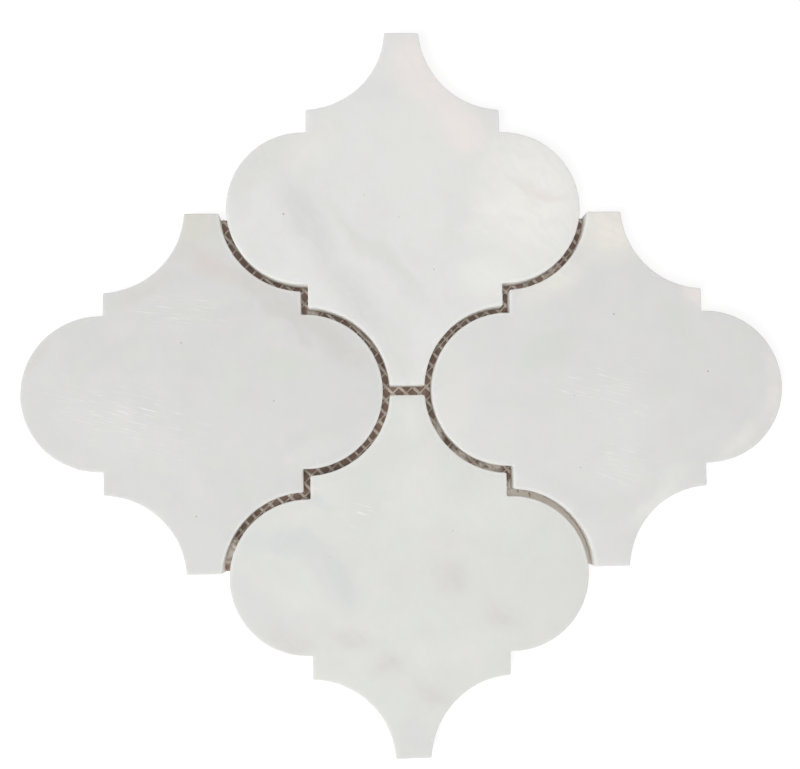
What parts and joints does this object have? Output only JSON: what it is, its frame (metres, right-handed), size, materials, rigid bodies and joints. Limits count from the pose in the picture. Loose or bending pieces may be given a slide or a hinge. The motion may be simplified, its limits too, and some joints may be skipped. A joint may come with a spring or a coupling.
{
  "type": "arabesque marble mosaic tile sheet",
  "caption": "Mesh-mounted mosaic sheet of interlocking moroccan arabesque lantern tiles in polished white marble, with open joints over a glass-fibre mesh.",
  "frame": {"origin": "centre of the sheet, on the underside of its bonding coat", "axes": "+X across the sheet through the left and right tiles, +Y towards the top tile's outer neck, +Z out of the polished faces"},
  "size_m": [0.3256, 0.3106, 0.0103],
  "materials": {
    "marble": "polished white marble with faint grey and cream veins",
    "glass_fibre_mesh": "beige-grey coated glass-fibre strands",
    "bonding_coat": "dark brown bonding coat, uneven"
  },
  "bodies": {
    "root": {"tile_top": "marble", "tile_left": "marble", "tile_right": "marble", "tile_bottom": "marble", "mesh_backing": "glass_fibre_mesh", "bonding_coat": "bonding_coat"}
  },
  "joints": []
}
